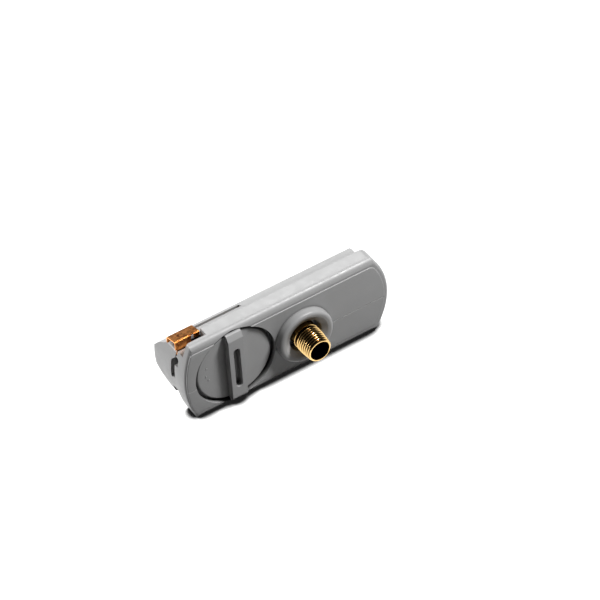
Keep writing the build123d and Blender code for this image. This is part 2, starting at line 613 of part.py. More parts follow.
PARTS = {
    "face_cover": face_cover(),
    "housing": housing(),
    "knob": knob(),
    "rotor_drum": rotor_drum(),
    "rotor_washer": rotor_washer(),
    "rotor_screw": rotor_screw(),
    "locking_wing_plate": locking_wing_plate(),
    "live_contact_shoe": contact_shoe(0),
    "neutral_contact_shoe": contact_shoe(180),
    "live_ring_segment": ring_segment(0),
    "neutral_ring_segment": ring_segment(180),
    "live_wiper_strip": wiper_strip(-1, -TERMINAL_PITCH),
    "neutral_wiper_strip": wiper_strip(1, 0.0),
    "earth_strip": earth_strip(),
    "earth_contact": earth_contact(),
    "terminal_block": terminal_block(),
    "live_terminal_clamp": terminal_clamp(-1),
    "neutral_terminal_clamp": terminal_clamp(0),
    "earth_terminal_clamp": terminal_clamp(1),
    "terminal_screws": terminal_screws(),
    "nipple": nipple(),
    "nipple_plate": nipple_plate(),
    "nipple_lock_washer": nipple_lock_washer(),
    "nipple_lock_nut": nipple_lock_nut(),
    "cover_screws": cover_screws(),
}

for node, shape in PARTS.items():
    export_step(shape, f"parts/{node}.step")
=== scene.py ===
import json
import logging
import math
from collections.abc import Iterable, Sequence
from dataclasses import dataclass
from enum import Enum

import bmesh
import bpy
from mathutils import Matrix, Vector


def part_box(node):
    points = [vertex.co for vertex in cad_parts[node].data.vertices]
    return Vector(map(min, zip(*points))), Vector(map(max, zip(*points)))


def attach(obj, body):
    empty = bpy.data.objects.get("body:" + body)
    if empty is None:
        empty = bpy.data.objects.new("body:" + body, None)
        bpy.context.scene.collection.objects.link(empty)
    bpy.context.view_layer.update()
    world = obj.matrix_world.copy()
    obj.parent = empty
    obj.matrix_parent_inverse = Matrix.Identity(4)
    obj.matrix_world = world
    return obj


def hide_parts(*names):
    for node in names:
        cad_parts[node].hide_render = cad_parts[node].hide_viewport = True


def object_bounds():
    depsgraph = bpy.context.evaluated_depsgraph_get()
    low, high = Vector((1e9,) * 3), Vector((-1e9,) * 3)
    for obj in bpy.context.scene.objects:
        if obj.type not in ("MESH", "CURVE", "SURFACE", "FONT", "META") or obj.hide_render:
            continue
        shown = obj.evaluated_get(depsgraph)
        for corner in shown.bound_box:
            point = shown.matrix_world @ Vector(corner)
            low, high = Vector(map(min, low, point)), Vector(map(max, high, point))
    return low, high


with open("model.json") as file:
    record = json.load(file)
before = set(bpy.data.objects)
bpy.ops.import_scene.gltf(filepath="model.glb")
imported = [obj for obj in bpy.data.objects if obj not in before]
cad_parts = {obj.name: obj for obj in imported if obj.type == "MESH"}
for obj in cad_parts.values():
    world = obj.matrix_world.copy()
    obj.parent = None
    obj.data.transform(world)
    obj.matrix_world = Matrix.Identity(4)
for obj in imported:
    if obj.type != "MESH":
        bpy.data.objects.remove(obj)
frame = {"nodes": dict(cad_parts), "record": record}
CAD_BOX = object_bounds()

# A single-circuit lighting-track adapter that lies on its long side. +X runs to its plain rounded end,
# -Y out of the face along the nipple, +Z up across the width. Shapes are drawn in millimetres and
# brought to metres last.
MM = 0.001
# Edges sharper than this angle, in degrees, are rounded.
CREASE_ANGLE = 28.0
# Overshoot of a cutting shape, and overlap of joined ones, in millimetres.
PAST = 1.0
LAP = 0.02
Span = tuple[float, float]
Corners = Sequence[Sequence[float]]
Mesh = bmesh.types.BMesh
Object = bpy.types.Object
Tree = bpy.types.NodeTree
Socket = bpy.types.NodeSocket
Material = bpy.types.Material
LOG = logging.getLogger("track_adapter")


class Combine(Enum):
    """How one solid acts on another."""

    JOIN = "UNION"
    CUT = "DIFFERENCE"
    KEEP = "INTERSECT"


class Axis(Enum):
    """The direction in which a flat section is drawn out, with the plane that it is drawn in."""

    LENGTH = Matrix(((0, 0, 1, 0), (1, 0, 0, 0), (0, 1, 0, 0), (0, 0, 0, 1)))
    DEPTH = Matrix(((1, 0, 0, 0), (0, 0, 1, 0), (0, 1, 0, 0), (0, 0, 0, 1)))
    TURNED = Matrix.Identity(4)


# ---------------------------------------------------------------- places taken from the CAD frame


def place(node: str) -> tuple[Vector, Vector]:
    """Find a CAD node's corners.

    Args:
        node: The CAD node's name.

    Returns:
        Its lowest and highest corner in millimetres.
    """
    low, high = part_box(node)
    return low / MM, high / MM


BODY_LOW, BODY_HIGH = place("housing")
KNOB_LOW, KNOB_HIGH = place("knob")
NIPPLE_LOW, NIPPLE_HIGH = place("nipple")
KNOB_X = (KNOB_LOW.x + KNOB_HIGH.x) / 2


# ---------------------------------------------------------------- solids


class Solid:
    """A closed shape in millimetres that others can be joined to or cut from."""

    def __init__(self, bm: Mesh) -> None:
        """Close the mesh's seams, turn its faces outwards and put it in the scene.

        Args:
            bm: The mesh, which is used up.
        """
        bmesh.ops.remove_doubles(bm, verts=bm.verts[:], dist=1e-4)
        bmesh.ops.recalc_face_normals(bm, faces=bm.faces[:])
        mesh = bpy.data.meshes.new("solid")
        bm.to_mesh(mesh)
        bm.free()
        self.obj = bpy.data.objects.new("solid", mesh)
        bpy.context.scene.collection.objects.link(self.obj)

    def combine(self, other: "Solid", how: Combine) -> "Solid":
        """Join, cut or trim this solid with another, which is used up.

        Args:
            other: The solid that acts on this one.
            how: What it does.

        Returns:
            This solid.
        """
        modifier = self.obj.modifiers.new("combine", "BOOLEAN")
        modifier.operation = how.value
        modifier.solver = "EXACT"
        modifier.object = other.obj
        evaluated = self.obj.evaluated_get(bpy.context.evaluated_depsgraph_get())
        mesh = bpy.data.meshes.new_from_object(evaluated)
        self.obj.modifiers.clear()
        self.obj.data = mesh
        bpy.data.objects.remove(other.obj)
        return self

    def join(self, *others: "Solid") -> "Solid":
        """Join other solids to this one.

        Args:
            others: Other solids.

        Returns:
            This solid.
        """
        for other in others:
            self.combine(other, Combine.JOIN)
        return self

    def cut(self, *others: "Solid") -> "Solid":
        """Cut other solids out of this one.

        Args:
            others: Other solids.

        Returns:
            This solid.
        """
        for other in others:
            self.combine(other, Combine.CUT)
        return self

    def keep(self, other: "Solid") -> "Solid":
        """Keep only what this solid shares with another."""
        return self.combine(other, Combine.KEEP)

    def finish(self, name: str, soft: float, segments: int = 2, crease: float = CREASE_ANGLE) -> Object:
        """Clean the mesh, bring it to metres and round its edges.

        Args:
            name: The finished piece's name.
            soft: Width of the rounding on its sharp edges, in millimetres, or 0 for none.
            segments: Faces across a rounded edge.
            crease: Angle in degrees over which an edge counts as sharp.

        Returns:
            The finished object.
        """
        bm = bmesh.new()
        bm.from_mesh(self.obj.data)
        bmesh.ops.remove_doubles(bm, verts=bm.verts[:], dist=0.003)
        bmesh.ops.dissolve_degenerate(bm, dist=0.003, edges=bm.edges[:])
        bmesh.ops.dissolve_limit(bm, angle_limit=math.radians(0.4), verts=bm.verts[:], edges=bm.edges[:])
        bmesh.ops.transform(bm, matrix=Matrix.Scale(MM, 4), verts=bm.verts[:])
        bm.to_mesh(self.obj.data)
        bm.free()
        self.obj.name = name
        self.obj.data.name = name
        self.obj.data.shade_smooth()
        self.obj.data.set_sharp_from_angle(angle=math.radians(crease))
        if soft:
            soften(self.obj, soft, segments)
        return self.obj


def soften(obj: Object, width: float, segments: int) -> None:
    """Round an object's sharp edges.

    Args:
        obj: The object, whose mesh is in metres.
        width: Width of the rounding in millimetres.
        segments: Faces across a rounded edge.
    """
    bevel = obj.modifiers.new("soft_edges", "BEVEL")
    bevel.width = width * MM
    bevel.segments = segments
    bevel.limit_method = "ANGLE"
    bevel.angle_limit = math.radians(CREASE_ANGLE)
    bevel.use_clamp_overlap = True
    bevel.harden_normals = True


def draw_out(bm: Mesh, direction: Vector) -> Solid:
    """Extrude a flat shape into a solid.

    Args:
        bm: A mesh of one face.
        direction: How far and which way it is drawn out.

    Returns:
        The solid.
    """
    result = bmesh.ops.extrude_face_region(bm, geom=bm.faces[:])
    moved = [item for item in result["geom"] if isinstance(item, bmesh.types.BMVert)]
    bmesh.ops.translate(bm, verts=moved, vec=direction)
    return Solid(bm)


def section_face(corners: Corners, plane: Matrix, arc_steps: int = 6) -> Mesh:
    """Draw a flat outline from a few corners, each of which may be rounded.

    Args:
        corners: For each corner its two coordinates and, where it is rounded, its radius.
        plane: Matrix that puts the flat outline in space.
        arc_steps: Segments in a rounded corner.

    Returns:
        A mesh of one face.
    """
    bm = bmesh.new()
    verts = [bm.verts.new(plane @ Vector((corner[0], corner[1], 0))) for corner in corners]
    bm.faces.new(verts)
    for vert, corner in zip(verts, corners):
        if len(corner) > 2:
            reach = corner[2] * math.tan(vert.calc_edge_angle() / 2)
            bmesh.ops.bevel(
                bm, geom=[vert], offset=reach, segments=arc_steps, profile=0.5, affect="VERTICES",
                material=-1,
            )
    return bm


def section(corners: Corners, axis: Axis, span: Span, arc_steps: int = 6) -> Solid:
    """Draw out a flat outline along the body or along its depth.

    Args:
        corners: The outline's corners, with a radius where they are rounded.
        axis: The direction in which it is drawn out.
        span: Where it starts and ends along that direction.
        arc_steps: Segments in a rounded corner.

    Returns:
        The solid.
    """
    bm = section_face(corners, axis.value, arc_steps)
    direction = axis.value.to_3x3() @ Vector((0, 0, 1))
    bmesh.ops.translate(bm, verts=bm.verts[:], vec=direction * span[0])
    return draw_out(bm, direction * (span[1] - span[0]))


def turned(corners: Corners, x: float = 0.0, steps: int = 96, arc_steps: int = 6) -> Solid:
    """Spin a profile about an axis that runs along the depth.

    Args:
        corners: (radius, depth) of each corner, with a radius where it is rounded.
        x: Where the axis stands along the body.
        steps: Faces round the solid.
        arc_steps: Segments in a rounded corner.

    Returns:
        The solid.
    """
    bm = section_face(corners, Axis.TURNED.value, arc_steps)
    bmesh.ops.delete(bm, geom=bm.faces[:], context="FACES_ONLY")
    on_axis = [vert for vert in bm.verts if vert.co.x < 1e-6]
    inner = [edge for edge in bm.edges if edge.verts[0] in on_axis and edge.verts[1] in on_axis]
    bmesh.ops.delete(bm, geom=inner, context="EDGES")
    bmesh.ops.spin(
        bm, geom=bm.verts[:] + bm.edges[:], cent=(0, 0, 0), axis=(0, 1, 0),
        angle=math.tau, steps=steps, use_merge=True, use_duplicate=False,
    )
    bmesh.ops.translate(bm, verts=bm.verts[:], vec=(x, 0, 0))
    return Solid(bm)


def disc(radius: float, depth: Span, x: float = 0.0, z: float = 0.0, steps: int = 64) -> Solid:
    """Make a round plate whose axis runs along the depth.

    Args:
        radius: Its radius.
        depth: Where it starts and ends along the depth.
        x: Where its axis stands along the body.
        z: Where its axis stands across the width.
        steps: Faces round it.

    Returns:
        The solid.
    """
    bm = bmesh.new()
    bmesh.ops.create_cone(
        bm, cap_ends=True, segments=steps, radius1=radius, radius2=radius, depth=depth[1] - depth[0],
        matrix=Matrix.Translation((x, sum(depth) / 2, z)) @ Matrix.Rotation(math.pi / 2, 4, "X"),
    )
    return Solid(bm)


def brick(x: Span, depth: Span, z: Span) -> Solid:
    """Make a box from its limits along each axis.

    Args:
        x: Its limits along the body.
        depth: Its limits along the depth.
        z: Its limits across the width.

    Returns:
        The solid.
    """
    size = [high - low for low, high in (x, depth, z)]
    centre = [(high + low) / 2 for low, high in (x, depth, z)]
    bm = bmesh.new()
    bmesh.ops.create_cube(bm, size=1.0, matrix=Matrix.Translation(centre) @ Matrix.Diagonal((*size, 1)))
    return Solid(bm)


@dataclass(frozen=True)
class Outline:
    """The body's outline in plan: two straight sides between two arcs, with small rounded corners."""

    half_width: float = BODY_HIGH.z
    left_inset: float = 0.0
    right_inset: float = 0.0
    left_radius: float = 40.0
    right_radius: float = 28.0
    left_corner: float = 1.4
    right_corner: float = 3.0

    def end(self, bm: Mesh, side: int) -> list[bmesh.types.BMVert]:
        """Draw one rounded end from the corner on the near side to the corner on the far side.

        Args:
            bm: The mesh to draw in.
            side: 1 for the plain end at the right, -1 for the end with the recesses.

        Returns:
            The first and the last vertex drawn.
        """
        apex, radius, inset, corner = (
            (BODY_HIGH.x, self.right_radius, self.right_inset, self.right_corner)
            if side > 0
            else (BODY_LOW.x, self.left_radius, self.left_inset, self.left_corner)
        )
        centre = Vector((apex - side * radius, 0, 0))
        up = self.half_width - corner
        along = math.sqrt((radius - inset - corner) ** 2 - up**2)
        swing = math.atan2(up, along)
        corner_centre = centre + Vector((side * along, 0, side * up))
        far_centre = centre + Vector((side * along, 0, -side * up))
        first = bm.verts.new(corner_centre + Vector((0, 0, side * corner)))
        last = first
        for pivot, angle, steps in (
            (corner_centre, math.pi / 2 - swing, 6),
            (centre, 2 * swing, 40),
            (far_centre, math.pi / 2 - swing, 6),
        ):
            result = bmesh.ops.spin(
                bm, geom=[last], cent=pivot, axis=(0, 1, 0), angle=angle, steps=steps, use_duplicate=False
            )
            last = next(item for item in result["geom_last"] if isinstance(item, bmesh.types.BMVert))
        return [first, last]

    def slab(self, depth: Span, front_round: float = 0.0, back_round: float = 0.0) -> Solid:
        """Draw the outline out along the depth.

        Args:
            depth: Where the slab starts and ends.
            front_round: Radius on the edge that faces out.
            back_round: Radius on the edge that faces into the track.

        Returns:
            The solid.
        """
        bm = bmesh.new()
        right = self.end(bm, 1)
        left = self.end(bm, -1)
        bm.edges.new((right[1], left[0]))
        bm.edges.new((left[1], right[0]))
        bmesh.ops.contextual_create(bm, geom=bm.edges[:])
        bmesh.ops.translate(bm, verts=bm.verts[:], vec=(0, depth[0], 0))
        result = bmesh.ops.extrude_face_region(bm, geom=bm.faces[:])
        moved = [item for item in result["geom"] if isinstance(item, bmesh.types.BMVert)]
        bmesh.ops.translate(bm, verts=moved, vec=(0, depth[1] - depth[0], 0))
        for rounding, level in ((front_round, depth[0]), (back_round, depth[1])):
            if rounding:
                rim = [e for e in bm.edges if all(abs(v.co.y - level) < 1e-4 for v in e.verts)]
                bmesh.ops.bevel(
                    bm, geom=rim, offset=rounding, segments=6, profile=0.5, affect="EDGES", material=-1
                )
        return Solid(bm)


# ---------------------------------------------------------------- finishes


def linear(code: str) -> tuple[float, float, float, float]:
    """Turn an sRGB hex code into a linear colour.

    Args:
        code: Six hex digits with a leading hash.

    Returns:
        Red, green, blue and alpha.
    """
    parts = [int(code[i : i + 2], 16) / 255 for i in (1, 3, 5)]
    red, green, blue = (p / 12.92 if p <= 0.04045 else ((p + 0.055) / 1.055) ** 2.4 for p in parts)
    return red, green, blue, 1.0


def add_node(tree: Tree, kind: str, inputs: dict | None = None, **settings) -> bpy.types.Node:
    """Add a shader node with its settings, values and links.

    Args:
        tree: The material's node tree.
        kind: The node's type.
        inputs: Socket name or number to a value, or to the output socket that feeds it.
        settings: Properties of the node itself.

    Returns:
        The node.
    """
    node = tree.nodes.new(kind)
    for key, value in settings.items():
        setattr(node, key, value)
    for key, value in (inputs or {}).items():
        if isinstance(value, bpy.types.NodeSocket):
            tree.links.new(value, node.inputs[key])
        else:
            node.inputs[key].default_value = value
    return node


def start_material(name: str) -> tuple[Material, Tree, Socket]:
    """Start a material that reads each piece's own Object coordinates, in metres.

    Args:
        name: The material's name.

    Returns:
        The material, its empty node tree and the coordinates' socket.
    """
    material = bpy.data.materials.new(name)
    material.use_nodes = True
    tree = material.node_tree
    tree.nodes.clear()
    coordinates = add_node(tree, "ShaderNodeTexCoord").outputs["Object"]
    return material, tree, coordinates


def noise(tree: Tree, where: Socket, size: float, detail: float = 2.0) -> Socket:
    """Add a noise pattern whose blotches are about a given size.

    Args:
        tree: The material's node tree.
        where: Coordinates in metres.
        size: Size of a blotch in millimetres.
        detail: Octaves of finer noise on top.

    Returns:
        The pattern's value.
    """
    scale = 1 / (size * MM)
    pattern = add_node(tree, "ShaderNodeTexNoise", {"Vector": where, "Scale": scale, "Detail": detail})
    return pattern.outputs["Fac"]


@dataclass(frozen=True)
class MouldedPlastic:
    """A thermoplastic coloured with dye, from a spark-eroded mould.

    It gives the eye a satin skin with a fine even grain and faint flow clouds, and painted shade darkens
    its narrow gaps and recesses by ambient occlusion. The grain of such a mould is about 0.05 mm and too
    fine to show, so it is drawn at 0.32 mm.
    """

    name: str
    colour: str
    cloud_colour: str
    roughness: float = 0.42
    grain_size: float = 0.32
    grain_height: float = 0.012
    cloud_size: float = 9.0
    # Painted shade in narrow gaps: its near-black colour, how far it reaches, its darkest mix and its
    # occlusion range.
    painted_gap_shade_colour: str = "#0E0E10"
    painted_gap_shade_reach: float = 2.4
    painted_gap_shade_tone: float = 0.0
    painted_gap_shade_range: Span = (0.2, 0.72)
    gloss_swing: float = 0.05

    def build(self) -> Material:
        """Make the material.

        Returns:
            The material.
        """
        material, tree, where = start_material(self.name)
        cloud = noise(tree, where, self.cloud_size)
        tone = add_node(tree, "ShaderNodeMix", {
            "Factor": cloud, 6: linear(self.colour), 7: linear(self.cloud_colour),
        }, data_type="RGBA")
        # Painted shade: narrow gaps and recesses darken towards the near-black shade colour where ambient
        # occlusion finds them.
        painted_shade_occlusion = add_node(tree, "ShaderNodeAmbientOcclusion", {"Distance": self.painted_gap_shade_reach * MM}, samples=8)
        depth = add_node(tree, "ShaderNodeMapRange", {
            "Value": painted_shade_occlusion.outputs["AO"], "From Min": self.painted_gap_shade_range[0],
            "From Max": self.painted_gap_shade_range[1], "To Min": self.painted_gap_shade_tone, "To Max": 1.0,
        })
        # The plastic's tone with the painted gap shade mixed in.
        tone_with_painted_gap_shade = add_node(tree, "ShaderNodeMix", {
            "Factor": depth.outputs["Result"], 6: linear(self.painted_gap_shade_colour), 7: tone.outputs[2],
        }, data_type="RGBA")
        grain = noise(tree, where, self.grain_size, 3.0)
        gloss = add_node(tree, "ShaderNodeMapRange", {
            "Value": noise(tree, where, self.cloud_size / 4), "From Min": 0.35, "From Max": 0.65,
            "To Min": self.roughness - self.gloss_swing, "To Max": self.roughness + self.gloss_swing,
        })
        bump = add_node(tree, "ShaderNodeBump", {
            "Height": grain, "Strength": 0.5, "Distance": self.grain_height * MM,
        })
        shader = add_node(tree, "ShaderNodeBsdfPrincipled", {
            "Base Color": tone_with_painted_gap_shade.outputs[2], "Roughness": gloss.outputs["Result"],
            "Normal": bump.outputs["Normal"], "IOR": 1.5, "Specular IOR Level": 0.42,
        })
        add_node(tree, "ShaderNodeOutputMaterial", {"Surface": shader.outputs["BSDF"]})
        return material


@dataclass(frozen=True)
class TurnedBrass:
    """Free-cutting brass with a cut thread, with painted shade that darkens it to a dark brown in the
    thread roots and inside the bore.

    The turning marks are about 0.02 mm apart on the real one, and are drawn coarser so that they show.
    """

    name: str = "turned_brass"
    crest_colour: str = "#EBC98C"
    # Painted shade: the thread roots and the bore darken to this colour.
    painted_root_shade_colour: str = "#2E1707"
    root_radius: float = 4.6
    crest_radius: float = 4.9
    rim_depth: float = NIPPLE_LOW.y
    taper: tuple[float, float] = (0.9, 5.0)
    roughness: float = 0.17

    def build(self) -> Material:
        """Make the material.

        Returns:
            The material.
        """
        material, tree, where = start_material(self.name)
        flat = add_node(tree, "ShaderNodeVectorMath", {0: where, 1: (1, 0, 1)}, operation="MULTIPLY")
        radius = add_node(tree, "ShaderNodeVectorMath", {0: flat.outputs["Vector"]}, operation="LENGTH")
        along = add_node(tree, "ShaderNodeSeparateXYZ", {"Vector": where})
        girth = add_node(tree, "ShaderNodeMapRange", {
            "Value": along.outputs["Y"], "From Min": self.rim_depth * MM,
            "From Max": (self.rim_depth + self.taper[1]) * MM, "To Min": self.taper[0], "To Max": 1.0,
        })
        level = add_node(tree, "ShaderNodeMath", {
            0: radius.outputs["Value"], 1: girth.outputs["Result"],
        }, operation="DIVIDE")
        # Painted shade: the colour darkens from the crests into the thread roots and inside the bore; the
        # tip's rim keeps the brass colour.
        height = add_node(tree, "ShaderNodeMapRange", {
            "Value": level.outputs["Value"], "From Min": self.root_radius * MM,
            "From Max": self.crest_radius * MM,
        })
        rim = add_node(tree, "ShaderNodeMapRange", {
            "Value": along.outputs["Y"], "From Min": (self.rim_depth + 0.3) * MM,
            "From Max": (self.rim_depth + 0.05) * MM,
        })
        bright = add_node(tree, "ShaderNodeMath", {
            0: height.outputs["Result"], 1: rim.outputs["Result"],
        }, operation="MAXIMUM")
        tone = add_node(tree, "ShaderNodeMix", {
            "Factor": bright.outputs["Value"], 6: linear(self.painted_root_shade_colour),
            7: linear(self.crest_colour),
        }, data_type="RGBA")
        stretch = add_node(tree, "ShaderNodeMapping", {"Vector": where, "Scale": (1, 12, 1)})
        marks = noise(tree, stretch.outputs["Vector"], 1.5)
        gloss = add_node(tree, "ShaderNodeMapRange", {
            "Value": marks, "To Min": self.roughness - 0.08, "To Max": self.roughness + 0.12,
        })
        bump = add_node(tree, "ShaderNodeBump", {"Height": marks, "Strength": 0.25, "Distance": 0.01 * MM})
        shader = add_node(tree, "ShaderNodeBsdfPrincipled", {
            "Base Color": tone.outputs[2], "Metallic": 1.0, "Roughness": gloss.outputs["Result"],
            "Normal": bump.outputs["Normal"],
        })
        add_node(tree, "ShaderNodeOutputMaterial", {"Surface": shader.outputs["BSDF"]})
        return material


@dataclass(frozen=True)
class RolledMetal:
    """Sheet or bar with fine rolling lines along its length and thin patches of oxide.

    Real rolling lines are about 0.01 mm apart, and are drawn coarser so that they show.
    """

    name: str
    colour: str
    oxide_colour: str
    roughness: float = 0.3
    line_size: float = 0.25
    patch_size: float = 2.5
    stretch: tuple[float, float, float] = (0.08, 1.0, 1.0)

    def build(self) -> Material:
        """Make the material.

        Returns:
            The material.
        """
        material, tree, where = start_material(self.name)
        patch = add_node(tree, "ShaderNodeMapRange", {
            "Value": noise(tree, where, self.patch_size, 4.0), "From Min": 0.45, "From Max": 0.72,
        })
        tone = add_node(tree, "ShaderNodeMix", {
            "Factor": patch.outputs["Result"], 6: linear(self.colour), 7: linear(self.oxide_colour),
        }, data_type="RGBA")
        along = add_node(tree, "ShaderNodeMapping", {"Vector": where, "Scale": self.stretch})
        lines = noise(tree, along.outputs["Vector"], self.line_size)
        gloss = add_node(tree, "ShaderNodeMapRange", {
            "Value": lines, "To Min": self.roughness - 0.08, "To Max": self.roughness + 0.12,
        })
        bump = add_node(tree, "ShaderNodeBump", {"Height": lines, "Strength": 0.35, "Distance": 0.01 * MM})
        shader = add_node(tree, "ShaderNodeBsdfPrincipled", {
            "Base Color": tone.outputs[2], "Metallic": 1.0, "Roughness": gloss.outputs["Result"],
            "Normal": bump.outputs["Normal"],
        })
        add_node(tree, "ShaderNodeOutputMaterial", {"Surface": shader.outputs["BSDF"]})
        return material


def fit(obj: Object, material: Material, body: str, slot: str, *nodes: str) -> Object:
    """Dress a finished piece and tie it to the frame.

    Args:
        obj: The piece.
        material: Its finish.
        body: The CAD body that it moves with.
        slot: The record's material slot; not used.
        nodes: The CAD nodes that it stands for.

    Returns:
        The piece.
    """
    obj.data.materials.clear()
    obj.data.materials.append(material)
    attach(obj, body)
    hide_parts(*nodes)
    LOG.info("%s: %d faces, for %s on %s", obj.name, len(obj.data.polygons), ", ".join(nodes), body)
    return obj


# ---------------------------------------------------------------- sub-assemblies


@dataclass(frozen=True)
class FaceCover:
    """The front shell: rounded shoulders, raised face, knob pocket and dished collar."""

    depth: float = 3.0
    wall: float = 1.5
    shoulder: float = 2.6
    end_round: float = 1.2
    face_half_width: float = 14.1
    face_rise: float = 0.35
    face_edge: float = 0.3
    face_inset: Span = (0.5, 1.9)
    crease_z: float = -2.35
    crease_tilt: float = 0.02
    crease_groove: float = 0.12
    pocket_radius: float = 15.9
    pocket_floor: float = 2.2
    hub_hole_radius: float = 8.4
    hole_radius: float = 6.35
    collar_radius: float = 10.7
    collar_rise: float = 3.7
    crown_radius: float = 9.4
    dish_radius: float = 8.5
    dish_rise: float = 2.3
    notch_right: float = -35.3
    notch_floor: float = 11.8
    post_x: tuple[float, ...] = (-7.0, 25.0)
    post_z: float = 13.5
    post_radius: float = 1.9
    post_back: float = 5.4

    def shell(self) -> Solid:
        """Make the shell's outside: the plan's slab trimmed by the rounded cross-section.

        Returns:
            The solid.
        """
        half = BODY_HIGH.z + LAP
        back = self.depth + PAST
        corners = [
            (-LAP, half, self.shoulder), (back, half), (back, -half), (-LAP, -half, self.shoulder),
        ]
        bar = section(corners, Axis.LENGTH, (BODY_LOW.x - PAST, BODY_HIGH.x + PAST), arc_steps=10)
        return Outline().slab((0, self.depth), front_round=self.end_round).keep(bar)

    def raised_face(self) -> Solid:
        """Make the raised face, whose lower part leans back a little below the crease.

        Returns:
            The solid.
        """
        outline = Outline(self.face_half_width, self.face_inset[0], self.face_inset[1])
        face = outline.slab((-self.face_rise, self.wall), front_round=self.face_edge)
        bm = bmesh.new()
        bm.from_mesh(face.obj.data)
        bmesh.ops.bisect_plane(
            bm, geom=bm.verts[:] + bm.edges[:] + bm.faces[:], plane_co=(0, 0, self.crease_z),
            plane_no=(0, 0, 1),
        )
        for vert in bm.verts:
            if vert.co.y < 0 and vert.co.z < self.crease_z:
                vert.co.y += (self.crease_z - vert.co.z) * self.crease_tilt
        bm.to_mesh(face.obj.data)
        bm.free()
        groove = self.crease_groove
        corners = [
            (-self.face_rise, self.crease_z + groove), (-self.face_rise + groove, self.crease_z),
            (-self.face_rise, self.crease_z - groove), (-self.face_rise - groove, self.crease_z),
        ]
        return face.cut(section(corners, Axis.LENGTH, (BODY_LOW.x - PAST, BODY_HIGH.x + PAST)))

    def inside(self) -> list[Solid]:
        """Make the hollow behind the face, less the walls round the pocket and the notch.

        Returns:
            The solids to cut away.
        """
        wall = self.wall
        hollow = Outline(BODY_HIGH.z - wall, wall, wall + 0.5).slab((wall, self.depth + 1))
        hollow.cut(disc(self.pocket_radius + 1.0, (0, self.depth + 2), KNOB_X, steps=128))
        notch = (self.notch_floor - wall, BODY_HIGH.z)
        hollow.cut(brick((BODY_LOW.x, self.notch_right + wall), (0, self.depth + 2), notch))
        return [hollow]

    def collar(self) -> Solid:
        """Make the dished ring round the nipple.

        Returns:
            The solid.
        """
        rise = self.collar_rise
        outer = self.collar_radius
        corners = [
            (self.hole_radius, 0.5), (self.hole_radius, -self.dish_rise, 0.5),
            (self.dish_radius, -rise + 0.1, 1.2), (self.crown_radius, -rise, 0.7),
            (outer, -rise, 1.1), (outer, 0.5),
        ]
        return turned(corners, steps=96, arc_steps=5)

    def posts(self) -> list[Solid]:
        """Make the four columns that take the cover's screws."""
        places = [(x, side * self.post_z) for x in self.post_x for side in (-1, 1)]
        return [disc(self.post_radius, (self.wall - 0.2, self.post_back), x, z, 24) for x, z in places]

    def build(self, material: Material) -> None:
        """Build the cover and dress it.

        Args:
            material: The body's plastic.
        """
        cover = self.shell().join(self.raised_face())
        cover.cut(*self.inside())
        cover.join(*self.posts())
        cover.cut(
            disc(self.pocket_radius, (-2, self.pocket_floor), KNOB_X, steps=128),
            disc(self.hub_hole_radius, (0, self.depth + 1), KNOB_X, steps=96),
            disc(self.hole_radius + 0.6, (-2, self.depth + 1), steps=96),
        )
        cover.join(self.collar())
        fit(cover.finish("face_cover_shell", 0.22, 3), material, "body", "body_plastic", "face_cover")


